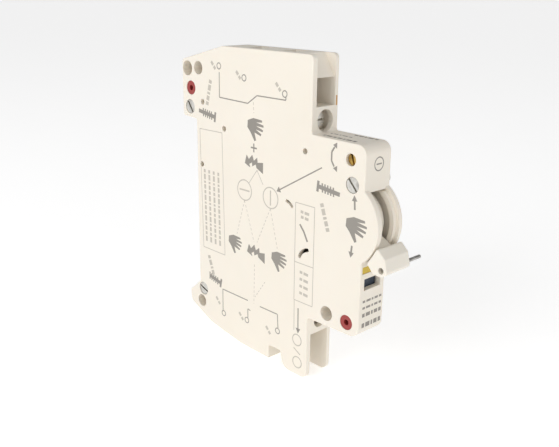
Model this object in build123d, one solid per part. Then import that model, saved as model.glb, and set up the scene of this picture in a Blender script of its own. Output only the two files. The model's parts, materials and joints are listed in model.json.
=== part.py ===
from build123d import *
import os
from math import cos, sin, radians

# Half-module signalling contact that screws to the side of a residual current breaker.
# Frame: X = 0 is the mating face and the body lies towards -X, Y runs from the front
# to the rail, Z is up. The lever turns about the X axis through Y = 0, Z = 0.

# ---- driving dimensions, mm ----
WIDTH = 8.8               # half of a 17.6 mm module
NOSE_FRONT = -6.0         # front face of the nose, in Y
NOSE_HEIGHT = 45.0        # standard nose height
MID_Z = -4.33             # middle of the nose height
SHOULDER = 10.1           # front face of the terminal blocks, in Y
BLOCK_TOP = 36.0          # top of the housing
CHAMFER_START = 41.3      # where the sloping back of the top begins
BACK = 57.8               # rearmost plane of the upper block
BACK_TOP = 31.7           # height where the slope meets the back
RAIL_WALL = 52.1          # floor of the rail recess
RAIL_TOP = 16.5           # upper end of the rail recess
RAIL_BOTTOM = -29.6       # lower end of the rail recess
FOOT_TOP = -33.4          # tip of the foot below the rail recess
TAB_BOTTOM = -43.7        # lowest point of the front tabs
TAB_BACK = 18.6           # back edge of the tabs
NOTCH_BACK = 23.7         # back edge of the notch behind the left tab
NOTCH_TOP = -39.2
LOWER_FACE_END = -31.9    # lower end of the closed face of the lower block
PLATE = 1.4               # printed side plate
COVER = 1.3               # side plate on the mating face
PRINTED_EDGE = 0.22       # rounding of the printed plate's rim
MATING_EDGE = 0.45        # rounding of the cover's rim
WALL = 1.4                # outer walls between the plates
GAP = 0.25                # free space beside moving pieces
FIT = 0.05                # radial clearance of a running fit

# lever
BULGE_R = 10.2
HUB_R = 7.0
AXLE_R = 1.2
LEVER_TRAVEL = 75.0
TAB_IN_R = 10.65
TAB_EDGE = 0.35
PIN_R = 0.45
PIN_Y = -11.47
PIN_Z = -8.47
PIN_REACH = 5.5           # end of the coupling pin past the mating face
PIN_SINK = 1.0            # the pin's root lies this deep in the tab's outer side
PIN_POINT = 0.2           # bevel on the pin's free end
PIN_ROOT_R = 0.75         # thicker root of the pin, pressed into the tab's bore

# fastening screws, dowels and sockets: Y, Z
SCREWS = [(54.7, 19.5), (-2.5, 9.0), (50.5, -31.4)]
SCREW_HEAD_R = 1.75
SCREW_HEAD_H = 1.7
SCREW_R = 1.25
SCREW_BOSS = 0.9          # wall of the boss round each screw
SCREW_TIP = 4.0           # screw point past the mating face
DOWELS = [(54.2, 24.5), (-2.3, -23.8)]
DOWEL_R = 1.8
SOCKETS = [(55.5, 29.5, 1.95), (51.0, 29.9, 1.75), (51.3, -35.3, 1.75), (3.9, -23.6, 1.83)]
SOCKET_DEPTH = 5.4
MARKS = [(49.4, 21.3), (40.8, 15.4), (50.1, 4.6), (12.0, 14.2)]
MARK_R = 0.75

# selector
SELECTOR_Y = -1.8
SELECTOR_Z = 14.5
SELECTOR_HOLE_R = 1.42
SELECTOR_R = 1.3

# arc slots: pivot Y, pivot Z, mean radius, slot width, start angle, end angle
TRIP_SLOT = (10.2, -12.5, 3.0, 0.95, 84.0, 16.0)
RESET_SLOT = (18.0, -1.3, 2.5, 0.80, 96.0, 144.0)
LEVER_PIN_R = 0.8
LEVER_X = (-5.5, -3.5)

# window and marker on the nose front
WINDOW_X = (-7.4, -1.6)
WINDOW_Z = (-15.2, -12.4)
MARKER_X = (-8.2, -1.4)
MARKER_Z = (-11.1, -9.4)
MARKER_DEPTH = 0.6
FLAG_T = 0.6
FLAG_PIN_R = 2.6          # radius at which the trip lever carries the flag

# terminals: name, front of the screw head in Y, height Z, side (+1 top, -1 bottom)
TERMINALS = [
    ("top_a", 12.0, 21.0, 1),
    ("top_b", 24.0, 25.9, 1),
    ("top_c", 37.0, 29.2, 1),
    ("bottom_a", 12.0, -28.8, -1),
    ("bottom_b", 24.0, -34.5, -1),
    ("bottom_c", 37.0, -37.7, -1),
]
MID_X = -4.35             # middle of the terminals in X
HEAD_R = 1.7
HEAD_H = 1.5
HEAD_POCKET = 1.9         # half width of the flat pocket round a front screw head
SHANK_R = 1.0
GUIDE_T = 1.0
CAGE_X = 5.4
CAGE_Z = 4.4
CAGE_WALL = 0.7
CAGE_INNER = 5.0          # clear length of the cage along Y
CAGE_START = 4.3          # cage front from the screw head's front
CAGE_TRAVEL = 1.5
STRIP_START = 7.0
STRIP_T = 0.7
STRIP_X = (-5.6, -2.5)
ENTRY = 4.6               # wire entry, square
ENTRY_START = 5.6
CHAMBER_TOP = 30.7
CHAMBER_FLOOR = 24.3
CHAMBER_BACK = 23.7
ACCESS_R = 2.6
LOWER_ACCESS_R = 1.85
CORE_CORNER = 0.1         # small, so that the lower driver hole clears the nose
SHELF_T = 0.8
SLOPE_TOP_Y = 13.5        # the sloping brow above the upper opening

# contacts: blade heights at rest and their pivots
BLADE_Z = {"top": 13.85, "bottom": -20.05}
BLADE_PIVOT_Y = 42.6
BLADE_END = 27.3
BLADE_T = 0.4
BLADE_X = (-5.2, -2.6)
TIP_Y = 28.6
TIP_R = 1.1
TIP_H = 0.6
CONTACT_GAP = 2.6
CONTACT_REST = 0.05
TILT_ROOM = 0.3           # left between the tips because a swung tip is tilted
BARREL_R = 0.9
BLADE_PIN_R = 0.5

# carrier that the hub moves
CARRIER_X = (-7.2, -5.9)
DRIVE_R = 3.4
DRIVE_PIN_R = 0.7
FORK_Y = (32.2, 33.6)

X_OUT = -WIDTH
X_IN = X_OUT + PLATE
X_COVER = -COVER
TAB_X = (X_OUT + 0.05, -0.1)
CARRIER_TRAVEL = 2 * DRIVE_R * sin(radians(LEVER_TRAVEL / 2))
FORK_ARM = BLADE_PIVOT_Y - sum(FORK_Y) / 2
BLADE_SWING = (CONTACT_GAP - TILT_ROOM) / (BLADE_PIVOT_Y - TIP_Y)
FORK_MOVE = FORK_ARM * BLADE_SWING
NOSE_TOP = MID_Z + NOSE_HEIGHT / 2
NOSE_BOTTOM = MID_Z - NOSE_HEIGHT / 2

os.makedirs("parts", exist_ok=True)


def box(x, y, z):
    """A block from three (low, high) pairs."""
    size = (x[1] - x[0], y[1] - y[0], z[1] - z[0])
    return Pos(sum(x) / 2, sum(y) / 2, sum(z) / 2) * Box(*size)


def rod_x(x, y, z, r):
    """A round bar along X from x[0] to x[1]."""
    return Pos(sum(x) / 2, y, z) * Rot(0, 90, 0) * Cylinder(r, x[1] - x[0])


def rod_y(y, x, z, r):
    """A round bar along Y from y[0] to y[1]."""
    return Pos(x, sum(y) / 2, z) * Rot(90, 0, 0) * Cylinder(r, y[1] - y[0])


def rod_z(z, x, y, r):
    """A round bar along Z from z[0] to z[1]."""
    return Pos(x, y, sum(z) / 2) * Cylinder(r, z[1] - z[0])


def slab(face, x):
    """A side-view face, drawn in Y and Z, made solid from x[0] to x[1]."""
    return extrude(Plane.YZ.offset(x[0]) * face, x[1] - x[0])


def rounded_plate(face, x, edge_x, radius):
    """A side plate whose rim is rounded on the face at edge_x."""
    plate = slab(face, x)
    rim = plate.edges().filter_by_position(Axis.X, edge_x - 0.01, edge_x + 0.01)
    return fillet(rim, radius)


def outline(corners):
    """A closed side-view face from (y, z, corner radius) triples."""
    points = [(y, z) for y, z, r in corners]
    radii = [r for y, z, r in corners]
    return make_face(FilletPolyline(*points, radius=radii, close=True))


def polar(y, z, r, angle):
    """A side-view point at a radius and an angle from +Y towards +Z."""
    return y + r * cos(radians(angle)), z + r * sin(radians(angle))


def arc_slot(slot, x):
    """A curved slot with round ends, as a solid to cut."""
    y, z, r, width, start, end = slot
    mid = (start + end) / 2
    ends = [polar(y, z, r, a) for a in (start, mid, end)]
    half = width / 2
    inner = [polar(y, z, r - half, a) for a in (start, mid, end)]
    outer = [polar(y, z, r + half, a) for a in (start, mid, end)]
    sides = [
        ThreePointArc(*inner),
        Line(inner[2], outer[2]),
        ThreePointArc(*reversed(outer)),
        Line(outer[0], inner[0]),
    ]
    caps = [Pos(*ends[i]) * Circle(half) for i in (0, 2)]
    return slab(make_face(Curve() + sides) + caps, x)


def front_and_back():
    """Corners that every side outline shares: front, top, back and rail recess."""
    return [
        (NOSE_FRONT, NOSE_BOTTOM, 2.6),
        (NOSE_FRONT, NOSE_TOP, 2.3),
        (SHOULDER, NOSE_TOP + 0.2, 0.6),
        (SHOULDER, BLOCK_TOP, 1.2),
        (CHAMFER_START, BLOCK_TOP, 4.0),
        (BACK, BACK_TOP, 1.0),
        (BACK, RAIL_TOP + 0.4, 0.8),
        (RAIL_WALL, RAIL_TOP, 0.6),
        (RAIL_WALL, RAIL_BOTTOM, 0.6),
        (BACK - 1.2, FOOT_TOP, 1.0),
        (BACK - 1.6, FOOT_TOP - 3.2, 1.2),
        (BACK - 10.2, -40.6, 8.0),
        (35.1, -42.7, 12.0),
    ]


def plate_face(notched):
    """Side plate seen from the side, with its rounded tab and the lever bulge."""
    tab = [
        (TAB_BACK, TAB_BOTTOM, 3.0),
        (SHOULDER, TAB_BOTTOM, 1.8),
        (SHOULDER, NOSE_BOTTOM, 0.6),
    ]
    if notched:
        bottom = [
            (NOTCH_BACK, -43.1, 0.3),
            (NOTCH_BACK, NOTCH_TOP, 0.3),
            (TAB_BACK + 0.8, NOTCH_TOP, 0.3),
        ]
    else:
        bottom = [(NOTCH_BACK, -43.1, 3.0)]
    return outline(front_and_back() + bottom + tab) + Circle(BULGE_R)


def core_face():
    """Outline of the walls between the plates, open at the lower front channel."""
    end = [
        (NOTCH_BACK, -43.1, 0.3),
        (NOTCH_BACK, LOWER_FACE_END, 0.2),
        (SHOULDER, LOWER_FACE_END, 0.2),
        (SHOULDER, NOSE_BOTTOM, CORE_CORNER),
    ]
    return outline(front_and_back() + end)


def terminal_walls(y0, z, side):
    """The wall that guides a terminal screw and the shelf under its cage."""
    guide = (y0 + HEAD_H + FIT, y0 + HEAD_H + FIT + GUIDE_T)
    wall = box((X_IN - 0.1, X_COVER), guide, (z - 1.9, z + 1.8))
    wall -= rod_y((guide[0] - 1, guide[1] + 1), MID_X, z, SHANK_R + FIT)
    under = sorted(z - side * (CAGE_Z / 2 + GAP + s) for s in (0.0, SHELF_T))
    shelf = box((X_IN - 0.1, X_COVER), (y0 - 0.3, y0 + STRIP_START - 0.6), under)
    stem = sorted((z - side * 1.8, under[0] if side > 0 else under[1]))
    post = box((X_IN - 0.1, X_COVER), guide, stem)
    return [wall, shelf, post]


def housing_left():
    """Printed plate with the outer walls, bosses, sockets and partitions."""
    core = core_face()
    inside = offset(core, -WALL)
    ring = slab(core - inside, (X_IN - 0.1, X_COVER))
    body = ring
    # chamber behind the upper opening and the channel under the lower face
    across = (X_IN - 0.1, X_COVER)
    body += box(across, (SHOULDER + 1, CHAMBER_BACK), (CHAMBER_FLOOR - SHELF_T, CHAMBER_FLOOR))
    body += box(across, (CHAMBER_BACK - WALL, CHAMBER_BACK), (CHAMBER_FLOOR - 0.1, BLOCK_TOP - 1))
    body += box(across, (SHOULDER + 0.4, SLOPE_TOP_Y + 1.5), (CHAMBER_TOP, BLOCK_TOP - 0.4))
    for name, y0, z, side in TERMINALS:
        for piece in terminal_walls(y0, z, side):
            body += piece
    for y, z in SCREWS:
        body += rod_x((X_IN - 0.1, X_COVER), y, z, SCREW_R + SCREW_BOSS)
    for y, z in DOWELS:
        body += rod_x((X_IN - 0.1, X_COVER - 0.2), y, z, DOWEL_R + 0.75)
    for y, z, r in SOCKETS:
        body += rod_x((X_IN - 0.1, X_OUT + SOCKET_DEPTH + 0.8), y, z, r + 0.7)
    for y, z in MARKS:
        body += rod_x((X_IN - 0.1, X_IN + 1.4), y, z, MARK_R + 0.6)
    body += rod_x((X_IN - 0.1, X_IN + 1.6), SELECTOR_Y, SELECTOR_Z, SELECTOR_HOLE_R + 0.8)
    # bosses near the edge are trimmed to the walls before the plate closes them
    body &= slab(core, (X_IN - 0.2, X_COVER + 0.1))
    body += rounded_plate(plate_face(True), (X_OUT, X_IN), X_OUT, PRINTED_EDGE)
    slope = make_face(Polyline(
        (SHOULDER - 1, CHAMBER_TOP), (SHOULDER + 0.5, CHAMBER_TOP),
        (SLOPE_TOP_Y, BLOCK_TOP + 0.01), (SHOULDER - 1, BLOCK_TOP + 0.01), close=True))
    body -= slab(slope, (X_IN, 1))
    body -= box((X_IN, 1), (SHOULDER - 1, SHOULDER + WALL + 0.1), (CHAMBER_FLOOR, CHAMBER_TOP))
    body -= rod_y((SHOULDER - 1, SHOULDER + WALL + 0.3), MID_X, TERMINALS[0][2], ACCESS_R)
    lower = TERMINALS[3][2]
    body -= rod_y((SHOULDER - 1, SHOULDER + WALL + 0.3), MID_X, lower, LOWER_ACCESS_R)
    for name, y0, z, side in TERMINALS:
        entry = (y0 + ENTRY_START, y0 + ENTRY_START + ENTRY)
        reach = sorted((z + side * (CAGE_Z / 2 + 0.1), side * 60))
        half = ENTRY / 2
        body -= box((MID_X - half, MID_X + half), entry, reach)
        if name.endswith("_a"):
            pocket = (SHOULDER + WALL, y0 + HEAD_H + FIT)
            body -= box((MID_X - HEAD_POCKET, MID_X + HEAD_POCKET), pocket,
                        (z - HEAD_POCKET, z + LOWER_ACCESS_R))
        else:
            body -= rod_y((CHAMBER_BACK - 3, y0 + HEAD_H + FIT), MID_X, z, HEAD_R + 0.1)
        zone = (z - CAGE_Z / 2 - 0.2, z + CAGE_Z / 2 + 0.2)
        cage = (y0 + HEAD_H + FIT + GUIDE_T, y0 + CAGE_START + CAGE_INNER + 2 * CAGE_WALL + 0.2)
        body -= box((X_IN, X_COVER + 1), cage, zone)
    # lever opening, window and marker pocket in the nose front
    lever_gap = (NOSE_FRONT - 1, NOSE_FRONT + WALL + 0.5)
    body -= box((X_IN, 1), lever_gap, (-8.25, 7.7))
    body -= box(WINDOW_X, lever_gap, WINDOW_Z)
    body -= box(MARKER_X, (NOSE_FRONT - 1, NOSE_FRONT + MARKER_DEPTH), MARKER_Z)
    for y, z in SCREWS:
        body -= rod_x((X_OUT - 1, X_OUT + SCREW_HEAD_H + 0.15), y, z, SCREW_HEAD_R + 0.12)
        body -= rod_x((X_OUT, 1), y, z, SCREW_R + 0.1)
    for y, z in DOWELS:
        body -= rod_x((X_OUT - 1, 1), y, z, DOWEL_R + FIT)
    for y, z, r in SOCKETS:
        body -= rod_x((X_OUT - 1, X_OUT + SOCKET_DEPTH), y, z, r)
    for y, z in MARKS:
        body -= rod_x((X_OUT - 1, X_OUT + 2.2), y, z, MARK_R)
    body -= rod_x((X_OUT - 1, X_IN + 2), SELECTOR_Y, SELECTOR_Z, SELECTOR_HOLE_R)
    for slot in (TRIP_SLOT, RESET_SLOT):
        body -= arc_slot(slot, (X_OUT - 1, X_IN + 1))
    for y, z in pivots():
        body += rod_x((X_IN - 0.1, LEVER_X[0] - GAP), y, z, LEVER_PIN_R + 0.7)
        body -= rod_x((X_IN, 1), y, z, LEVER_PIN_R)
    body += rod_x((X_IN - 0.1, X_IN + 0.15), 0, 0, AXLE_R + 1.0)
    body -= rod_x((X_OUT + 0.5, 1), 0, 0, AXLE_R)
    return body


def pivots():
    """Side-view centres of the two small internal levers."""
    return [TRIP_SLOT[:2], RESET_SLOT[:2]]


def housing_right():
    """Cover plate on the mating face, with the inner rib beside the lever."""
    body = rounded_plate(plate_face(False), (X_COVER, 0), 0, MATING_EDGE)
    rib = slab(Circle(9.4) - Circle(8.3), (X_COVER - 1.1, X_COVER))
    front = box((-5, 0), (-10, NOSE_FRONT + 1.0), (-7.6, 7.2))
    body += rib & front
    body += rod_x((X_COVER - 1.3, X_COVER), 0, 0, AXLE_R + 1.0)
    for y, z in pivots():
        body += rod_x((LEVER_X[1] + GAP, X_COVER), y, z, LEVER_PIN_R + 0.7)
        body -= rod_x((-5, -0.4), y, z, LEVER_PIN_R)
    body -= rod_x((-5, -0.5), 0, 0, AXLE_R)
    for y, z in SCREWS:
        body -= rod_x((-5, 1), y, z, SCREW_R + 0.1)
    for slot in (TRIP_SLOT, RESET_SLOT):
        body -= arc_slot(slot, (-3, 1))
    return body


def slotted_head(x, y, z, r, depth, angle):
    """A straight driver slot across a round head that faces -X."""
    slot = Pos(x + depth / 2, 0, 0) * Box(depth + 0.02, 2.4 * r, 0.5)
    return Pos(0, y, z) * Rot(angle, 0, 0) * slot


def fastening_screws():
    """Three slotted screws that hold the module to its neighbour."""
    group = []
    head_x = X_OUT + 0.12
    for (y, z), angle in zip(SCREWS, (55, 48, 20)):
        screw = rod_x((head_x, head_x + SCREW_HEAD_H), y, z, SCREW_HEAD_R)
        screw += rod_x((head_x, SCREW_TIP - 1), y, z, SCREW_R)
        point = Pos(SCREW_TIP - 0.5, y, z) * Rot(0, 90, 0) * Cone(SCREW_R, 0.4, 1.0)
        screw += point
        screw -= slotted_head(head_x, y, z, SCREW_HEAD_R, 0.8, angle)
        group.append(screw)
    return Compound(group)


def dowels():
    """Two hollow coloured dowels that keep the plates together."""
    group = []
    for y, z in DOWELS:
        dowel = rod_x((X_OUT + 0.1, X_COVER - 0.1), y, z, DOWEL_R)
        dowel -= rod_x((X_OUT, X_OUT + 3.5), y, z, 0.7)
        group.append(dowel)
    return Compound(group)


def marker():
    """Coloured strip in its shallow pocket below the lever."""
    x = (MARKER_X[0] + 0.05, MARKER_X[1] - 0.05)
    z = (MARKER_Z[0] + 0.05, MARKER_Z[1] - 0.05)
    return box(x, (NOSE_FRONT + 0.15, NOSE_FRONT + MARKER_DEPTH), z)


def toggle_lever():
    """Hub between the plates, neck through the gap and the wide finger tab."""
    hub_x = (CARRIER_X[1] + GAP, X_COVER - 1.3 - GAP)
    neck_x = (X_IN + GAP, X_COVER - 1.1 - GAP)
    hub = slab(Circle(HUB_R), hub_x)
    neck_points = [
        polar(0, 0, HUB_R - 1.5, 180 + 22), polar(0, 0, TAB_IN_R + 0.8, 180 + 26),
        polar(0, 0, TAB_IN_R + 0.8, 180 + 42), polar(0, 0, HUB_R - 1.5, 180 + 44)]
    neck = slab(make_face(Polyline(*neck_points, close=True)), neck_x)
    tab_corners = [
        (-10.1, -3.6, 0.6), (-12.3, -5.7, 0.5), (-13.05, -8.9, 0.9),
        (-11.6, -10.1, 0.8), (-9.2, -9.9, 0.6), (-7.4, -7.9, 0.5)]
    tab = slab(outline(tab_corners), TAB_X)
    for end in TAB_X:
        tab = fillet(tab.edges().filter_by_position(Axis.X, end - 0.01, end + 0.01), TAB_EDGE)
    tab -= slab(Circle(TAB_IN_R), (X_OUT - 1, 1))
    lever = hub + neck + tab
    angle = LEVER_TRAVEL / 2
    y, z = polar(0, 0, DRIVE_R, angle)
    lever += rod_x((CARRIER_X[0] + 0.1, hub_x[0] + 0.5), y, z, DRIVE_PIN_R)
    lever -= rod_x((X_OUT, 0), 0, 0, AXLE_R + FIT)
    lever -= rod_x((X_OUT - 1, 1), PIN_Y, PIN_Z, PIN_ROOT_R)
    return lever


def coupling_pin():
    """Stepped pin pressed in the tab; its thin end carries the neighbour's handle."""
    pin = rod_x((X_OUT + PIN_SINK, TAB_X[1]), PIN_Y, PIN_Z, PIN_ROOT_R)
    pin += rod_x((TAB_X[1], PIN_REACH - PIN_POINT), PIN_Y, PIN_Z, PIN_R)
    return pin + Pos(PIN_REACH - PIN_POINT / 2, PIN_Y, PIN_Z) * Rot(0, 90, 0) * Cone(PIN_R, 0.3, PIN_POINT)


def carrier():
    """Plate that the hub pin lifts and lowers, with a fork for each contact blade."""
    y, z = polar(0, 0, DRIVE_R, LEVER_TRAVEL / 2)
    slot_z = (z - DRIVE_PIN_R - GAP, z + DRIVE_PIN_R + GAP)
    slot_y = (y - DRIVE_PIN_R - GAP, DRIVE_R + DRIVE_PIN_R + GAP)
    eye = ((slot_y[0], slot_y[1] + 1.2), (slot_z[0] - 1.1, slot_z[1] + 1.1))
    arm_z = (6.0, 9.0)
    bar_y = (FORK_Y[0] - 0.2, FORK_Y[1] + 1.2)
    body = box(CARRIER_X, eye[0], eye[1])
    body += box(CARRIER_X, (slot_y[1] - 0.2, slot_y[1] + 2.3), (eye[1][0], arm_z[1]))
    body += box(CARRIER_X, (slot_y[1], bar_y[1]), arm_z)
    low = BLADE_Z["bottom"] - BLADE_T / 2 - 2.2
    top = BLADE_Z["top"] + BLADE_T / 2 + 3.6
    body += box(CARRIER_X, bar_y, (low, top))
    body -= box((X_OUT, 0), slot_y, slot_z)
    lost = CARRIER_TRAVEL - FORK_MOVE
    for blade_z in BLADE_Z.values():
        above = blade_z + BLADE_T / 2 + lost + 0.1
        below = blade_z - BLADE_T / 2 - 0.1
        body += box((CARRIER_X[0], BLADE_X[1]), FORK_Y, (above, above + 1.2))
        body += box((CARRIER_X[0], BLADE_X[1]), FORK_Y, (below - 1.2, below))
    return body


def swing_lever(slot, arms):
    """A small lever with a stub in an arc slot; arms are (radius, angle) pins."""
    y, z, r, width, start, end = slot
    body = rod_x(LEVER_X, y, z, LEVER_PIN_R + 1.0)
    stub = polar(y, z, r, start)
    middle = polar(y, z, r / 2, start)
    web = Pos(*middle) * Rot(0, 0, start) * Rectangle(r, 1.4)
    body += slab(web, LEVER_X)
    body += rod_x((X_OUT + 0.7, -0.5), *stub, width / 2 - 0.06)
    body += rod_x(LEVER_X, *stub, 0.8)
    for radius, angle in arms:
        end_y, end_z = polar(y, z, radius, angle)
        web = Pos(*polar(y, z, radius / 2, angle)) * Rot(0, 0, angle) * Rectangle(radius, 1.4)
        body += slab(web, LEVER_X)
        body += rod_x(LEVER_X, end_y, end_z, 0.7)
        body += rod_x((LEVER_X[0], LEVER_X[1] + 1.3), end_y, end_z, 0.5)
    return body - rod_x((X_OUT, 0), y, z, LEVER_PIN_R + FIT)


def lever_pin(slot):
    """Fixed pin of a small lever, held in both plates."""
    y, z = slot[:2]
    return rod_x((X_IN + 0.05, -0.45), y, z, LEVER_PIN_R)


def trip_flag():
    """Indicator flag behind the window with its tail to the trip lever."""
    y = (NOSE_FRONT + WALL + GAP, NOSE_FRONT + WALL + GAP + FLAG_T)
    z = (WINDOW_Z[0] - 0.4, WINDOW_Z[1] + 0.4)
    return box((X_IN + 0.3, X_COVER - 0.3), y, z)


def flag_slide():
    """White lower field of the flag and the tail that the trip lever lifts."""
    y = (NOSE_FRONT + WALL + GAP, NOSE_FRONT + WALL + GAP + FLAG_T)
    bottom = WINDOW_Z[0] - 0.4
    body = box((X_IN + 0.3, X_COVER - 0.3), y, (bottom - 3.2, bottom))
    body += box((X_IN + 0.3, X_COVER - 0.3), (y[1], y[1] + 0.5), (bottom - 3.2, bottom + 3.4))
    angle = 180 + (TRIP_SLOT[4] - TRIP_SLOT[5]) / 2
    pin_y, pin_z = polar(*TRIP_SLOT[:2], FLAG_PIN_R, angle)
    tail_x = (LEVER_X[1] + GAP, LEVER_X[1] + GAP + 0.9)
    body += box(tail_x, (y[1], pin_y + 0.2), (pin_z - 1.0, pin_z + 1.0))
    fork_end = pin_y + 0.45
    body += box(tail_x, (pin_y - 1.4, fork_end), (pin_z - 1.5, pin_z + 1.5))
    body -= box((-5, 0), (pin_y - 1.15, fork_end + 1), (pin_z - 0.65, pin_z + 0.65))
    return body


def selector_screw():
    """Slotted brass selector behind its hole in the printed plate."""
    body = rod_x((X_OUT + 0.7, X_COVER - 0.4), SELECTOR_Y, SELECTOR_Z, SELECTOR_R)
    return body - slotted_head(X_OUT + 0.7, SELECTOR_Y, SELECTOR_Z, SELECTOR_R, 0.8, 70)


def selector_cam():
    """Plastic cam pressed on the selector."""
    x = (X_IN + 2.0, X_IN + 4.0)
    cam = rod_x(x, SELECTOR_Y, SELECTOR_Z, SELECTOR_R + 0.9)
    cam += box(x, (SELECTOR_Y, SELECTOR_Y + 3.0), (SELECTOR_Z - 0.9, SELECTOR_Z + 0.9))
    return cam - rod_x((X_OUT, 0), SELECTOR_Y, SELECTOR_Z, SELECTOR_R)


def terminal_screw(y0, z):
    """Captive terminal screw: slotted head, shank through the guide and the cage."""
    screw = rod_y((y0, y0 + HEAD_H), MID_X, z, HEAD_R)
    screw += rod_y((y0, y0 + STRIP_START - FIT), MID_X, z, SHANK_R)
    screw -= box((MID_X - 2, MID_X + 2), (y0 - 1, y0 + 0.8), (z - 0.25, z + 0.25))
    return screw


def terminal_cage(y0, z):
    """Square clamp cage, open above and below for the strip and the wire."""
    front = y0 + CAGE_START
    back = front + CAGE_INNER + 2 * CAGE_WALL
    half = CAGE_X / 2
    cage = box((MID_X - half, MID_X + half), (front, back), (z - CAGE_Z / 2, z + CAGE_Z / 2))
    inner = half - CAGE_WALL
    clear = (front + CAGE_WALL, back - CAGE_WALL)
    cage -= box((MID_X - inner, MID_X + inner), clear, (z - 9, z + 9))
    return cage - rod_y((front - 1, front + 1), MID_X, z, SHANK_R + FIT)


def strip(name, y0, z, side):
    """Brass terminal strip from the clamp cage to its contact or blade."""
    group = "top" if side > 0 else "bottom"
    blade = BLADE_Z[group]
    y = (y0 + STRIP_START, y0 + STRIP_START + STRIP_T)
    outer_end = z + side * (CAGE_Z / 2 - 0.3)
    if name.endswith("_c"):
        end = blade - side * 1.3
        return box(STRIP_X, y, sorted((outer_end, end)))
    upper = (name == "top_b") or (name == "bottom_a")
    if upper:
        leg = blade + TIP_H + CONTACT_REST + TIP_H
    else:
        leg = blade - TIP_H - CONTACT_GAP - TIP_H - STRIP_T
    legs = (leg, leg + STRIP_T)
    body = box(STRIP_X, y, (min(outer_end, legs[0]), max(outer_end, legs[1])))
    reach = (min(y[0], TIP_Y - 1.3), max(y[1], TIP_Y + 1.3))
    return body + box(STRIP_X, reach, legs)


def fixed_tips():
    """Silver tips on the four fixed contacts."""
    group = []
    x = sum(BLADE_X) / 2
    for blade in BLADE_Z.values():
        over = blade + TIP_H + CONTACT_REST
        under = blade - TIP_H - CONTACT_GAP - TIP_H
        group += [rod_z((over, over + TIP_H), x, TIP_Y, TIP_R)]
        group += [rod_z((under, under + TIP_H), x, TIP_Y, TIP_R)]
    return Compound(group)


def blade(height):
    """Moving contact blade with the barrel that turns on its pin."""
    z = (height - BLADE_T / 2, height + BLADE_T / 2)
    body = box(BLADE_X, (BLADE_END, BLADE_PIVOT_Y), z)
    body += rod_x(BLADE_X, BLADE_PIVOT_Y, height, BARREL_R)
    return body - rod_x((X_OUT, 0), BLADE_PIVOT_Y, height, BLADE_PIN_R + FIT)


def blade_tips(height):
    """Silver tips above and below a moving blade."""
    x = sum(BLADE_X) / 2
    half = BLADE_T / 2
    top = rod_z((height + half, height + TIP_H), x, TIP_Y, TIP_R)
    low = rod_z((height - TIP_H, height - half), x, TIP_Y, TIP_R)
    return Compound([top, low])


def blade_pin(height):
    """Pin that carries a blade between the plates."""
    return rod_x((X_IN, X_COVER), BLADE_PIVOT_Y, height, BLADE_PIN_R)


def build():
    """Every sub-part by node name."""
    nodes = {
        "housing_left": housing_left(),
        "housing_right": housing_right(),
        "fastening_screws": fastening_screws(),
        "dowels": dowels(),
        "marker_strip": marker(),
        "toggle_axle": rod_x((X_OUT + 0.55, -0.55), 0, 0, AXLE_R),
        "toggle_lever": toggle_lever(),
        "coupling_pin": coupling_pin(),
        "contact_carrier": carrier(),
        "trip_lever": swing_lever(TRIP_SLOT, [(FLAG_PIN_R, 180 + (TRIP_SLOT[4] - TRIP_SLOT[5]) / 2)]),
        "trip_lever_pin": lever_pin(TRIP_SLOT),
        "reset_lever": swing_lever(RESET_SLOT, [(2.6, -60)]),
        "reset_lever_pin": lever_pin(RESET_SLOT),
        "trip_flag": trip_flag(),
        "flag_slide": flag_slide(),
        "selector_screw": selector_screw(),
        "selector_cam": selector_cam(),
        "fixed_contact_tips": fixed_tips(),
    }
    for name, y0, z, side in TERMINALS:
        nodes["screw_" + name] = terminal_screw(y0, z)
        nodes["cage_" + name] = terminal_cage(y0, z)
        nodes["strip_" + name] = strip(name, y0, z, side)
    for group, height in BLADE_Z.items():
        nodes["blade_" + group] = blade(height)
        nodes["blade_tips_" + group] = blade_tips(height)
        nodes["blade_pin_" + group] = blade_pin(height)
    return nodes


for node, shape in build().items():
    export_step(shape, f"parts/{node}.step")
print("carrier travel mm", round(CARRIER_TRAVEL, 3), "blade swing rad", round(BLADE_SWING, 4))
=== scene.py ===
# %% [markdown]
# # A half-width signalling contact for a breaker
# The real object is a flat moulded box that is screwed to the side of a breaker. Its shape and
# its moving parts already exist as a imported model, so this lesson only adds what the eye sees:
# finishes, the printed diagram, the thread on the screws, the light and the camera.

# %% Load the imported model
import json
from math import atan2, cos, pi, radians, sin

import bmesh
import bpy
from mathutils import Matrix, Vector


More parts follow.
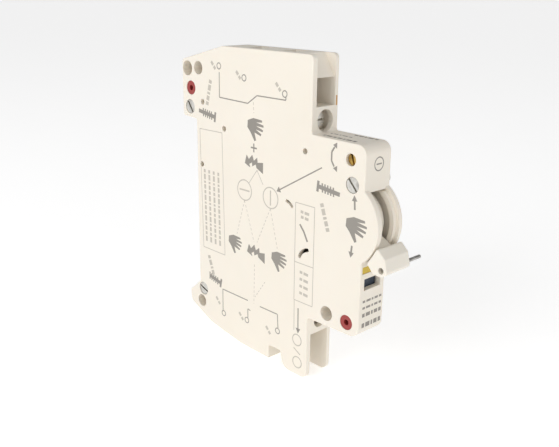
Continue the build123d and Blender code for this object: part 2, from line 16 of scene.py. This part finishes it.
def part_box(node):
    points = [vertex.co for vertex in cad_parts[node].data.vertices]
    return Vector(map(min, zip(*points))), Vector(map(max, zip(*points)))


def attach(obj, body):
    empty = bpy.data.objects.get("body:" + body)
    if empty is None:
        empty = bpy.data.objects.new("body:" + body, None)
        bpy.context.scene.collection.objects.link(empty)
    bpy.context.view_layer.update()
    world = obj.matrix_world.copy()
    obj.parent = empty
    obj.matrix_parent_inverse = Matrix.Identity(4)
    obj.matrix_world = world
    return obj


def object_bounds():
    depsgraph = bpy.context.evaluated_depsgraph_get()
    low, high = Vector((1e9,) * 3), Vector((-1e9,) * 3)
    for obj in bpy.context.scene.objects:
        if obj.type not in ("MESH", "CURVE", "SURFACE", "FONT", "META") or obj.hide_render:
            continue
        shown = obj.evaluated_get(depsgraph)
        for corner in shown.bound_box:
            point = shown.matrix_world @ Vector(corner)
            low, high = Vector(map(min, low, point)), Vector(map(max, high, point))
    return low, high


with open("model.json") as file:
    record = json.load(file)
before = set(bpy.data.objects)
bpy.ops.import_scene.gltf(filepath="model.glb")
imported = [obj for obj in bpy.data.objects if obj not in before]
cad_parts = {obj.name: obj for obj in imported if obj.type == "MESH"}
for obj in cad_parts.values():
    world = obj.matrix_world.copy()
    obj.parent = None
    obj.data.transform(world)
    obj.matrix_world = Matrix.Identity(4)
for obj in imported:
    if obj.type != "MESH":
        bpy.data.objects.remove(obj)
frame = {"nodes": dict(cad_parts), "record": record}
cad_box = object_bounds()
MM = 0.001

# %% [markdown]
# A print has to lie on its face, so the faces are read from the imported model where the box of a
# node gives them. The printed plate lies at the lowest X of the housing, and the marker strip
# sits a little behind the front of the nose. The marks on a face are given one by one, in
# millimetres from the origin of the model.

# %% Faces that carry print
PRINTED_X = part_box("housing_left")[0].x
MARKER_SET_BACK = 0.15 * MM
NOSE_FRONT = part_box("marker_strip")[0].y - MARKER_SET_BACK
FLOOR_Z = cad_box[0].z
MATING_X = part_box("housing_right")[1].x
print("printed face x", round(PRINTED_X / MM, 2), "nose front y", round(NOSE_FRONT / MM, 2))

# %% [markdown]
# ## Finishes
# A finish is a small network of shader nodes. Written out one by one, nodes hide the idea, so
# two classes keep it readable. `Value` wraps one output, and arithmetic on it adds the Math
# nodes. `Finish` holds a material, and its one method adds any other node.

# %% A value that can be used in a sum
class Value:
    """One output in a material, so that maths on it reads as a plain expression."""

    def __init__(self, finish, socket):
        self.finish = finish
        self.socket = socket

    def maths(self, operation, first, second):
        return self.finish.node("ShaderNodeMath", {"operation": operation}, {0: first, 1: second})

    def __add__(self, other):
        return self.maths("ADD", self, other)

    def __radd__(self, other):
        return self.maths("ADD", other, self)

    def __mul__(self, other):
        return self.maths("MULTIPLY", self, other)

    def __rmul__(self, other):
        return self.maths("MULTIPLY", other, self)


# %% A material and its one way to add a node
class Finish:
    """A material under construction."""

    def __init__(self, name):
        self.material = bpy.data.materials.new(name)
        self.material.use_nodes = True
        self.tree = self.material.node_tree
        self.tree.nodes.clear()

    def node(self, kind, settings=None, sockets=None, output=0):
        """Adds a node: its settings first, then the values or links of its sockets."""
        node = self.tree.nodes.new(kind)
        for key, value in (settings or {}).items():
            if key == "stops":
                for element, (place, level) in zip(node.color_ramp.elements, value):
                    element.position = place
                    element.color = (level, level, level, 1)
            else:
                setattr(node, key, value)
        for key, value in (sockets or {}).items():
            if isinstance(value, Value):
                self.tree.links.new(value.socket, node.inputs[key])
            else:
                node.inputs[key].default_value = value
        return Value(self, node.outputs[output])

    def finish(self, sockets):
        """Closes the material with one shader."""
        shader = self.node("ShaderNodeBsdfPrincipled", None, sockets)
        end = self.tree.nodes.new("ShaderNodeOutputMaterial")
        self.tree.links.new(shader.socket, end.inputs["Surface"])
        return self.material


# %% [markdown]
# Colours are easiest to judge as they look on a screen, from 0 to 255, but the shader works
# with amounts of light. This helper turns the first into the second.

# %% Screen colour to light
def tint(red, green, blue):
    """A screen colour as linear light with full opacity."""
    light = []
    for level in (red, green, blue):
        share = level / 255
        light.append(share / 12.92 if share <= 0.04045 else ((share + 0.055) / 1.055) ** 2.4)
    return (*light, 1.0)


print("cream as light", [round(c, 3) for c in tint(240, 232, 219)[:3]])

# %% [markdown]
# ### Moulded plastic
# The housing is a glass-filled plastic moulded in a spark-eroded tool. Close up it has a fine
# even grain, and over a few centimetres its colour and gloss drift slightly where the melt
# flowed. Grain is a bump about a fifth of a millimetre across. Drift is one large soft noise
# that moves the colour and the roughness together. A little light also passes under the skin.

# %% Plastic
def plastic(name, colour, shade, gloss=0.42, grain=5200.0, grain_depth=0.25, under_skin=0.06):
    """Moulded plastic that drifts between two colours and has a fine grain."""
    made = Finish(name)
    place = made.node("ShaderNodeTexCoord", output="Object")
    drift = made.node("ShaderNodeTexNoise", None,
                      {"Vector": place, "Scale": 55.0, "Detail": 3.0, "Roughness": 0.55})
    pits = made.node("ShaderNodeTexNoise", None,
                     {"Vector": place, "Scale": grain, "Detail": 2.0, "Roughness": 0.6})
    mixed = made.node("ShaderNodeMix", {"data_type": "RGBA"},
                      {0: drift, 6: shade, 7: colour}, output=2)
    bump = made.node("ShaderNodeBump", None,
                     {"Height": pits, "Strength": grain_depth, "Distance": 0.02 * MM})
    return made.finish({
        "Base Color": mixed, "Roughness": gloss + drift * 0.12 + pits * 0.06,
        "Normal": bump, "IOR": 1.5, "Subsurface Weight": under_skin,
        "Subsurface Radius": (0.9, 0.6, 0.4), "Subsurface Scale": 0.6 * MM})


# %% [markdown]
# ### Metal
# Plated steel, brass and silver differ in colour, but all were rolled, turned or stamped, and
# that leaves fine parallel marks. Noise squeezed along one axis gives such marks. Handling
# leaves dull patches, which a second, larger noise adds as tarnish and as roughness.

# %% Metal
def metal(name, colour, tarnish, gloss=0.24, squeeze=(400.0, 400.0, 5200.0), mark_depth=0.15):
    """Bare or plated metal with fine tool marks and dull patches."""
    made = Finish(name)
    place = made.node("ShaderNodeTexCoord", output="Object")
    stretched = made.node("ShaderNodeMapping", None, {"Vector": place, "Scale": squeeze})
    marks = made.node("ShaderNodeTexNoise", None,
                      {"Vector": stretched, "Scale": 1.0, "Detail": 2.0, "Roughness": 0.5})
    patches = made.node("ShaderNodeTexNoise", None,
                        {"Vector": place, "Scale": 420.0, "Detail": 4.0, "Roughness": 0.6})
    dull = made.node("ShaderNodeValToRGB", {"stops": [(0.42, 0.0), (0.68, 1.0)]}, {"Fac": patches})
    mixed = made.node("ShaderNodeMix", {"data_type": "RGBA"},
                      {0: dull, 6: colour, 7: tarnish}, output=2)
    bump = made.node("ShaderNodeBump", None,
                     {"Height": marks, "Strength": mark_depth, "Distance": 0.02 * MM})
    return made.finish({
        "Base Color": mixed, "Metallic": 1.0,
        "Roughness": gloss + marks * 0.12 + dull * 0.16, "Normal": bump})


# %% [markdown]
# ### Ink
# The diagram is pad-printed. Ink lies on the grain as a thin matt skin that is slightly patchy,
# so it uses the plastic recipe with less gloss, stronger drift and no light under the skin.

# %% The finishes of this object
CREAM, CREAM_SHADE = tint(243, 236, 224), tint(237, 229, 215)
finishes = {
    "housing_plastic": plastic("housing_plastic", CREAM, CREAM_SHADE),
    "lever_plastic": plastic("lever_plastic", tint(244, 238, 227), tint(238, 231, 217), 0.34,
                             grain_depth=0.12),
    "red_plastic": plastic("red_plastic", tint(168, 62, 58), tint(140, 48, 46), 0.36),
    "yellow_plastic": plastic("yellow_plastic", tint(224, 196, 74), tint(206, 176, 58), 0.4),
    "blue_plastic": plastic("blue_plastic", tint(62, 74, 92), tint(48, 58, 74), 0.3),
    "white_plastic": plastic("white_plastic", tint(244, 243, 238), tint(235, 233, 226), 0.38),
    "grey_plastic": plastic("grey_plastic", tint(150, 146, 136), tint(134, 130, 121), 0.45),
    "bright_steel": metal("bright_steel", tint(214, 212, 206), tint(168, 165, 158)),
    "spring_steel": metal("spring_steel", tint(186, 184, 180), tint(128, 125, 120), 0.2,
                          (5200.0, 400.0, 400.0)),
    "zinc_steel": metal("zinc_steel", tint(196, 196, 190), tint(158, 156, 148), 0.32),
    "brass": metal("brass", tint(206, 172, 96), tint(140, 112, 62), 0.28),
    "copper_alloy": metal("copper_alloy", tint(206, 142, 104), tint(150, 94, 66), 0.28),
    "ochre": plastic("ochre", tint(206, 160, 104), tint(190, 142, 88), 0.6, under_skin=0.0),
    "silver": metal("silver", tint(224, 222, 216), tint(160, 156, 148), 0.22),
}
ink_strong = plastic("ink_strong", tint(142, 137, 130), tint(156, 151, 143), 0.6, under_skin=0.0)
# The faint ink is real print on the side, and it is also painted shade on the tab rings below.
faint_ink_and_ring_shade = plastic("faint_ink_and_ring_shade", tint(190, 183, 172), tint(201, 194, 183), 0.6, under_skin=0.0)
print("finishes", len(finishes), "and two inks")

# %% [markdown]
# The record says which slot each node belongs to, so the finishes are handed out in one loop.
# The meshes are not touched: only the material slots change.

# %% Paint the nodes
for subpart in frame["record"]["subparts"]:
    node = frame["nodes"][subpart["node"]]
    node.data.materials.clear()
    node.data.materials.append(finishes[subpart["material_slot"]])

# %% [markdown]
# ## Print
# The side carries a circuit diagram with small pictures, and the nose carries short lines of
# lettering. Real words and marks are left out: plain dashes stand for every word. Each print is
# drawn flat in millimetres, then given the thickness of a film of ink and laid on its face.
# Geometry is used rather than a picture, so the print stays sharp at any distance. The film is
# sunk a little into its face. Marks drawn one after another end at slightly different levels,
# which repeat after nine, because two surfaces in exactly the same place would flicker.

# %% Where a flat drawing goes
INK_FILM = 0.008
INK_SINK = 0.01
LEVELS = 9
LEVEL_STEP = 0.0005
NOSE_TOP_Z = 18.17 * MM
NOSE_TOP_RISE = 0.2 * MM
SHOULDER_Y = 10.1 * MM


def drawing_plane(across, up, outward, origin):
    """The matrix that lays a drawing, in mm, on a face of the object, in metres."""
    axes = Matrix((across, up, outward)).transposed().to_4x4()
    return Matrix.Translation(origin) @ axes @ Matrix.Scale(MM, 4)


SIDE = drawing_plane((0, 1, 0), (0, 0, 1), (-1, 0, 0), (PRINTED_X, 0, 0))
FRONT = drawing_plane((1, 0, 0), (0, 0, 1), (0, -1, 0), (0, NOSE_FRONT, 0))
EDGE = drawing_plane((1, 0, 0), (0, 0, 1), (0, -1, 0), (0, SHOULDER_Y, 0))
TOP_SLOPE = atan2(NOSE_TOP_RISE, SHOULDER_Y - NOSE_FRONT)
TOP = drawing_plane((1, 0, 0), (0, cos(TOP_SLOPE), sin(TOP_SLOPE)),
                    (0, -sin(TOP_SLOPE), cos(TOP_SLOPE)), (0, NOSE_FRONT, NOSE_TOP_Z))
print("drawing planes ready")


# %% Strokes, rings, discs and arrowheads
def stroke(ink, start, end, width=0.28):
    """A straight stroke of a given width."""
    a, b = Vector(start), Vector(end)
    along = b - a
    place = Matrix.Translation(((a + b) / 2).to_3d())
    turn = Matrix.Rotation(atan2(along.y, along.x), 4, "Z")
    size = Matrix.Diagonal((along.length / 2, width / 2, 1, 1))
    bmesh.ops.create_grid(ink, x_segments=1, y_segments=1, size=1.0, matrix=place @ turn @ size)


def path(ink, points, width=0.28):
    """Strokes from point to point."""
    for start, end in zip(points, points[1:]):
        stroke(ink, start, end, width)


def disc(ink, centre, radius, segments=20, turn=0.0):
    """A filled disc, or an arrowhead when it has three sides."""
    place = Matrix.Translation(Vector(centre).to_3d()) @ Matrix.Rotation(turn, 4, "Z")
    bmesh.ops.create_circle(ink, cap_ends=True, radius=radius, segments=segments, matrix=place)


def ring(ink, centre, radius, width=0.28, segments=28):
    """A circle drawn with a line."""
    place = Matrix.Translation(Vector(centre).to_3d())
    edges = []
    for size in (radius - width / 2, radius + width / 2):
        made = bmesh.ops.create_circle(ink, radius=size, segments=segments, matrix=place)
        edges += dict.fromkeys(edge for vert in made["verts"] for edge in vert.link_edges)
    bmesh.ops.bridge_loops(ink, edges=edges)


def arrow(ink, start, end, width=0.3, head=0.75):
    """A stroke with a filled head on its end."""
    stroke(ink, start, end, width)
    along = Vector(end) - Vector(start)
    disc(ink, end, head, 3, atan2(along.y, along.x) - pi / 2)


# %% [markdown]
# Dashes stand for lettering. Their lengths follow a short repeating pattern, so that a line
# looks like words from a distance, yet no letter is drawn.

# %% Dashes in place of words
WORD_PATTERN = (0.9, 1.5, 0.6, 1.2)
WORD_GAP = 0.4
SHORTEST_DASH = 0.3


def dashes(ink, start, end, height=0.5):
    """A line of plain dashes from start to end."""
    a, b = Vector(start), Vector(end)
    length = (b - a).length
    along = (b - a) / length
    done, turn = 0.0, 0
    while done < length - SHORTEST_DASH:
        step = min(WORD_PATTERN[turn % len(WORD_PATTERN)], length - done)
        stroke(ink, a + along * done, a + along * (done + step), height)
        done += step + WORD_GAP
        turn += 1


def dashed_line(ink, start, end, width=0.16, dash=0.7, gap=0.5):
    """A thin broken line of the diagram."""
    a, b = Vector(start), Vector(end)
    length = (b - a).length
    along = (b - a) / length
    for number in range(int(length / (dash + gap)) + 1):
        begin = number * (dash + gap)
        stroke(ink, a + along * begin, a + along * min(begin + dash, length), width)


# %% [markdown]
# Two little pictures repeat on the side: an open hand, for working by hand, and a flash, for
# an electrical release. Both are this lesson's own simple shapes.

# %% Hand and flash
HAND = ((-1.6, 1.0), (-0.2, 1.5), (1.9, 1.35), (2.0, 1.0), (0.5, 0.85), (2.3, 0.55), (2.35, 0.2),
        (0.5, 0.25), (2.2, -0.25), (2.15, -0.6), (0.4, -0.35), (1.8, -1.0), (1.65, -1.35),
        (0.1, -0.9), (0.5, -2.2), (0.1, -2.4), (-0.9, -1.0), (-1.7, -0.2))
FLASH = ((-2.4, -0.3), (-1.9, 1.3), (-1.3, 0.6), (-0.4, 1.5), (0.0, 0.5), (0.9, 1.2), (1.0, 0.3),
         (2.4, 0.5), (2.4, -1.5), (0.7, -0.7), (0.5, -0.1), (-0.4, -0.6), (-0.5, 0.1), (-1.2, -0.3),
         (-0.9, -0.9))


def picture(ink, shape, centre, scale):
    """One filled outline. It runs towards the front of the object, which is towards -Y."""
    corners = [ink.verts.new((centre[0] - u * scale, centre[1] + v * scale, 0)) for u, v in shape]
    ink.faces.new(corners)


# %% [markdown]
# A drawing becomes a solid when each flat shape gets a raised copy and a wall along its rim.
# Blender can extrude in one call, but that call makes the walls in an order that changes from
# run to run. Here they are made one by one in the order of the drawing, so that every run
# writes the same mesh.

# %% From a drawing to a piece
def islands(ink):
    """The separate flat shapes of a drawing, in the order in which they were drawn."""
    seen = set()
    for first in ink.faces:
        if first in seen:
            continue
        group, reached = [], [first]
        seen.add(first)
        while reached:
            face = reached.pop()
            group.append(face)
            beside = [other for edge in face.edges for other in edge.link_faces]
            for other in beside:
                if other not in seen:
                    seen.add(other)
                    reached.append(other)
        yield group


def raise_drawing(ink, height):
    """Gives each flat shape a thickness; shapes drawn one after another differ in level."""
    for number, group in enumerate(list(islands(ink))):
        lift = Vector((0, 0, height + LEVEL_STEP * (number % LEVELS)))
        loops = [loop for face in group for loop in face.loops]
        rim = [(loop.vert, loop.link_loop_next.vert) for loop in loops if loop.edge.is_boundary]
        raised = {}
        for vert in dict.fromkeys(loop.vert for loop in loops):
            raised[vert] = ink.verts.new(vert.co + lift)
        for face in group:
            ink.faces.new([raised[vert] for vert in face.verts])
        for start, end in rim:
            ink.faces.new((start, end, raised[end], raised[start]))


def printed(name, ink, plane, material):
    """Gives a drawing the thickness of a film and lays it on its face."""
    raise_drawing(ink, INK_FILM + INK_SINK)
    bmesh.ops.translate(ink, verts=ink.verts, vec=(0, 0, -INK_SINK))
    bmesh.ops.transform(ink, matrix=plane, verts=ink.verts)
    piece(name, ink, material, "housing")


def piece(name, shape, material, body):
    """Turns a finished bmesh into an object that moves with a body."""
    bmesh.ops.recalc_face_normals(shape, faces=shape.faces)
    mesh = bpy.data.meshes.new(name)
    shape.to_mesh(mesh)
    shape.free()
    mesh.materials.append(material)
    made = bpy.data.objects.new(name, mesh)
    bpy.context.scene.collection.objects.link(made)
    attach(made, body)
    print(name, "faces", len(mesh.polygons))


# %% [markdown]
# ### The circuit diagram
# Two changeover contacts are drawn, one above the other, each with three terminals. Thin lines
# lead from them to the hands and flashes that explain what works them.

# %% Strong print on the side
marks = bmesh.new()
path(marks, [(42.5, 29.5), (42.5, 23.2), (31.7, 22.9), (28.4, 25.1)])
path(marks, [(28.4, 25.1), (18.5, 25.1), (18.5, 25.8)])
path(marks, [(42.1, -35.4), (42.1, -29.1), (31.8, -29.2)])
path(marks, [(31.8, -34.2), (31.8, -31.6), (30.8, -31.8)])
path(marks, [(27.1, -29.4), (20.5, -29.4), (20.2, -33.4)])
for spot in ((42.6, 31.0), (33.1, 28.9), (18.9, 26.5), (41.8, -36.2), (32.2, -35.0), (20.4, -34.0)):
    ring(marks, spot, 0.75, 0.26)
for centre, scale in (((29.4, 17.4), 1.45), ((37.2, -14.2), 1.3), ((20.6, -14.6), 1.35),
                      ((-3.6, -0.3), 1.5)):
    picture(marks, HAND, centre, scale)
picture(marks, FLASH, (29.5, 8.3), 1.4)
picture(marks, FLASH, (28.7, -15.0), 1.4)
stroke(marks, (28.4, 12.2), (30.6, 12.2), 0.4)
stroke(marks, (29.5, 11.1), (29.5, 12.0), 0.4)
stroke(marks, (29.5, 12.4), (29.5, 13.3), 0.4)
arrow(marks, (6.6, 11.3), (20.5, 3.3), 0.3, 0.9)
arrow(marks, (13.2, -25.3), (13.1, -31.2), 0.35, 0.9)
arrow(marks, (-3.5, 3.6), (-3.3, 6.0), 0.5, 0.9)
arrow(marks, (-3.1, -4.8), (-2.9, -6.8), 0.5, 0.9)
path(marks, [(3.0, 16.6), (3.8, 15.4), (3.8, 13.4), (3.0, 12.2)], 0.45)
disc(marks, (2.7, 17.0), 0.8, 3, radians(30))
disc(marks, (2.5, 11.8), 0.8, 3, radians(150))
path(marks, [(13.2, -3.6), (11.8, -5.2), (10.6, -7.4)], 0.5)
print("strong marks drawn")

# %% [markdown]
# A small side view of a screw points at each fastening screw. A head, a shank and five slanted
# strokes for the thread are enough to read as a screw at this size.

# %% Screw pictures on the side
def screw_picture(ink, head, tip):
    """A small side view of a screw that points at a fastening screw."""
    a, b = Vector(head), Vector(tip)
    along = (b - a).normalized()
    across = Vector((-along.y, along.x))
    stroke(ink, a - across * 1.3, a + across * 1.3, 0.7)
    stroke(ink, a, b, 1.0)
    for number in range(5):
        spot = a + along * (1.2 + number * 0.85)
        stroke(ink, spot - across * 1.05, spot + across * 1.05 + along * 0.4, 0.42)


screw_picture(marks, (7.7, 6.8), (1.0, 6.1))
screw_picture(marks, (44.4, 17.9), (51.0, 18.9))
screw_picture(marks, (42.9, -27.6), (47.7, -26.6))
printed("side_print", marks, SIDE, ink_strong)

# %% [markdown]
# Frames, guide lines and the two selector positions are printed paler, so that the hands and
# the contacts stand out. They go into a drawing of their own, because a piece has one finish.

# %% Faint print on the side
lines = bmesh.new()
for centre, level in (((33.0, 0.8), True), ((23.4, 0.7), False)):
    ring(lines, centre, 2.65, 0.3)
    reach = Vector((1.9, 0)) if level else Vector((0, 1.9))
    stroke(lines, Vector(centre) - reach, Vector(centre) + reach, 0.4)
path(lines, [(31.3, 3.0), (28.3, 6.8), (26.1, 3.5)], 0.18)
dashed_line(lines, (29.7, 23.4), (29.5, 20.8))
for start, end in (((33.0, -1.9), (36.0, -11.6)), ((33.0, -1.9), (29.4, -12.2)),
                   ((23.4, -2.0), (20.8, -11.8)), ((23.4, -2.0), (28.2, -12.0))):
    dashed_line(lines, start, end)
dashed_line(lines, (29.2, -18.3), (29.4, -29.3))
dashed_line(lines, (25.2, -22.0), (29.0, -27.3))
path(lines, [(14.7, 1.5), (8.5, 1.5), (8.5, -23.4), (14.7, -23.4), (14.7, 1.5)], 0.2)
path(lines, [(14.7, -13.4), (8.5, -13.4)], 0.2)
path(lines, [(14.6, -23.4), (14.5, -31.6)], 0.2)
path(lines, [(50.8, 14.1), (41.7, 14.2), (41.0, -18.9), (50.1, -18.8), (50.8, 14.1)], 0.2)
print("faint lines drawn")

# %% Dashes on the side
for column in range(4):
    shift = 43.4 + column * 1.9
    dashes(lines, (shift, 3.4), (shift - 0.4, -17.4), 0.75)
dashes(lines, (13.0, -0.4), (10.2, -0.6), 0.7)
dashes(lines, (12.9, -1.7), (10.4, -1.9), 0.7)
for row in range(4):
    dashes(lines, (12.9, -15.6 - row * 1.8), (10.0, -15.8 - row * 1.8), 0.7)
for start, end in (((6.4, 3.0), (4.2, -3.3)), ((46.0, 27.2), (47.6, 20.6)),
                   ((47.9, -20.8), (45.9, -26.1))):
    dashes(lines, start, end, 1.1)
for spot in ((44.9, 31.0), (35.3, 29.4), (21.2, 27.9), (44.3, -33.1), (34.6, -34.6), (24.0, -35.0)):
    dashes(lines, (spot[0] - 0.9, spot[1] - 0.9), (spot[0] + 0.7, spot[1] + 0.9), 0.8)
printed("side_print_faint", lines, SIDE, faint_ink_and_ring_shade)

# %% [markdown]
# ### The nose
# The front of the nose carries a mark above the lever and four lines of lettering below the
# window. The mark is replaced by a plain ring with a bar, and the lettering by dashes.

# %% Print on the nose
nose = bmesh.new()
ring(nose, (-4.3, 13.7), 1.5, 0.28)
stroke(nose, (-5.2, 13.7), (-3.4, 13.7), 0.32)
for height, level in ((-17.9, 0.55), (-19.5, 0.55), (-21.3, 0.9), (-23.8, 1.1)):
    dashes(nose, (-7.6, height), (-0.9, height), level)
printed("nose_print", nose, FRONT, ink_strong)

patch = bmesh.new()
stroke(patch, (-0.72, 24.2), (-0.72, 26.5), 0.45)
printed("edge_patch", patch, EDGE, finishes["ochre"])

crown = bmesh.new()
dashes(crown, (-7.0, 4.4), (-7.0, 14.4), 0.9)
dashes(crown, (-4.2, 8.0), (-4.2, 14.4), 0.5)
dashes(crown, (-1.6, 2.7), (-1.6, 9.5), 0.8)
printed("nose_top_print", crown, TOP, ink_strong)

# %% [markdown]
# ## Rings on the lower tab
# Two circles with a slash between them stand a hair proud of the tab. They belong to the plastic
# of the plate. Their grey line is painted shade: the faint ink colour on them stands in for the
# shade along their raised edges and keeps their thin line visible on cream.

# %% Rings
rings = bmesh.new()
ring(rings, (13.4, -34.0), 1.5, 0.3)
ring(rings, (13.2, -40.1), 1.5, 0.3)
stroke(rings, (12.2, -37.7), (14.5, -36.4), 0.3)
raise_drawing(rings, INK_FILM)
bmesh.ops.transform(rings, matrix=SIDE, verts=rings.verts)
# The faint ink colour on the rings is painted shade along their raised edges.
piece("tab_rings", rings, faint_ink_and_ring_shade, "housing")

# %% [markdown]
# ## Screw threads
# The three fastening screws come through the cover and bite into the neighbour. A thread is one
# small triangle carried round the axis while it also moves along it: `spin` does both at once
# when it is given a step along the axis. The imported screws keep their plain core.

# %% Threads
THREAD_PITCH = 0.75
THREAD_TURNS = 3
THREAD_STEPS = 20
CORE_RADIUS = 1.25
CREST_RADIUS = 1.48
ROOT_SINK = 0.05
SCREW_AXES = ((54.7, 19.5), (-2.5, 9.0), (50.5, -31.4))

for number, (y, z) in enumerate(SCREW_AXES, 1):
    thread = bmesh.new()
    root = CORE_RADIUS - ROOT_SINK
    corners = ((0.1, root), (0.3, CREST_RADIUS), (0.5, root))
    ridge = [thread.verts.new((x * MM + MATING_X, (y + r) * MM, z * MM)) for x, r in corners]
    thread.faces.new(ridge)
    bmesh.ops.spin(thread, geom=thread.verts[:] + thread.edges[:] + thread.faces[:],
                   cent=(0, y * MM, z * MM), axis=(1, 0, 0),
                   dvec=(THREAD_PITCH * MM / THREAD_STEPS, 0, 0),
                   angle=2 * pi * THREAD_TURNS, steps=THREAD_STEPS * THREAD_TURNS,
                   use_merge=False)
    piece(f"screw_thread_{number}", thread, finishes["bright_steel"], "housing")

# %% [markdown]
# ## The floor
# The object stands in white. The floor is very large and gives off a little light of its own, so
# it stays nearly as bright as the sky. From a low view the line where the two meet still shows.

# %% Floor
FLOOR_SIZE = 30.0
FLOOR_GLOW = 0.45
ground = bmesh.new()
bmesh.ops.create_grid(ground, x_segments=1, y_segments=1, size=FLOOR_SIZE,
                      matrix=Matrix.Translation((0, 0, FLOOR_Z)))
floor_mesh = bpy.data.meshes.new("floor")
ground.to_mesh(floor_mesh)
ground.free()
floor = bpy.data.objects.new("floor", floor_mesh)
bpy.context.scene.collection.objects.link(floor)
floor_mesh.materials.append(plastic("floor_paper", tint(252, 252, 252), tint(249, 249, 249), 0.8,
                                    grain=900.0, grain_depth=0.02, under_skin=0.0))
shine = floor_mesh.materials[0].node_tree.nodes["Principled BSDF"].inputs
shine["Emission Color"].default_value = (1, 1, 1, 1)
shine["Emission Strength"].default_value = FLOOR_GLOW
print("floor at", round(FLOOR_Z / MM, 1), "mm")

# %% [markdown]
# ## The light
# Small lights would draw hard shadows on a part this size, so both are wide and soft. The key
# light stands on the printed side and above, and a weaker one in front keeps the nose readable.

# %% Light
LIGHT_TARGET = Vector((0, 15 * MM, 0))


def soft_light(name, place, size, power):
    """A square light that faces the object."""
    data = bpy.data.lights.new(name, "AREA")
    data.size = size
    data.energy = power
    light = bpy.data.objects.new(name, data)
    away = Vector(place) - LIGHT_TARGET
    facing = away.to_track_quat("Z", "Y").to_matrix().to_4x4()
    light.matrix_world = Matrix.Translation(place) @ facing
    bpy.context.scene.collection.objects.link(light)
    print(name, "at", [round(v, 2) for v in place])


soft_light("key_light", (-0.60, 0.02, 0.30), 0.4, 1.4)
soft_light("front_light", (-0.05, -0.60, 0.25), 0.4, 0.5)

# %% [markdown]
# The sky is white at the horizon, where it meets the floor, and darker overhead. With one even
# white all round, the top and the side of the object would be equally bright and lose their edge.

# %% Sky
HORIZON_GLOW, SKY_GLOW = 1.0, 0.42
FADE_FROM, FADE_TO = 0.02, 0.3
world = bpy.data.worlds.new("studio")
bpy.context.scene.world = world
world.use_nodes = True
sky = world.node_tree
height = sky.nodes.new("ShaderNodeSeparateXYZ")
fade = sky.nodes.new("ShaderNodeMapRange")
for socket, value in (("From Min", FADE_FROM), ("From Max", FADE_TO),
                      ("To Min", HORIZON_GLOW), ("To Max", SKY_GLOW)):
    fade.inputs[socket].default_value = value
sky.links.new(sky.nodes.new("ShaderNodeTexCoord").outputs["Generated"], height.inputs["Vector"])
sky.links.new(height.outputs["Z"], fade.inputs["Value"])
sky.links.new(fade.outputs["Result"], sky.nodes["Background"].inputs["Strength"])
sky.nodes["Background"].inputs["Color"].default_value = (1, 1, 1, 1)
print("sky from", HORIZON_GLOW, "to", SKY_GLOW)

# %% [markdown]
# ## The camera
# The camera looks at the printed side and the nose from a little above, which shows the lever,
# the pin and the diagram at once. It stands close, so lines that run away from it draw together.

# %% Camera
AIM = Vector((-16.2, 12.5, -1.7)) * MM
DISTANCE = 170.0 * MM
FOCAL_LENGTH, SENSOR_WIDTH = 47.77, 36.0
AZIMUTH, ELEVATION, ROLL = radians(-44.16), radians(17.57), radians(0.69)
away = Vector((sin(AZIMUTH) * cos(ELEVATION), -cos(AZIMUTH) * cos(ELEVATION), sin(ELEVATION)))
lens = bpy.data.cameras.new("camera")
lens.lens = FOCAL_LENGTH
lens.sensor_width = SENSOR_WIDTH
lens.clip_start = 10 * MM
camera = bpy.data.objects.new("camera", lens)
facing = away.to_track_quat("Z", "Y").to_matrix().to_4x4()
rolled = facing @ Matrix.Rotation(ROLL, 4, "Z")
camera.matrix_world = Matrix.Translation(AIM + away * DISTANCE) @ rolled
bpy.context.scene.collection.objects.link(camera)
bpy.context.scene.camera = camera
bpy.context.scene.view_settings.view_transform = "Standard"
print("camera at", [round(v / MM, 1) for v in camera.matrix_world.translation])
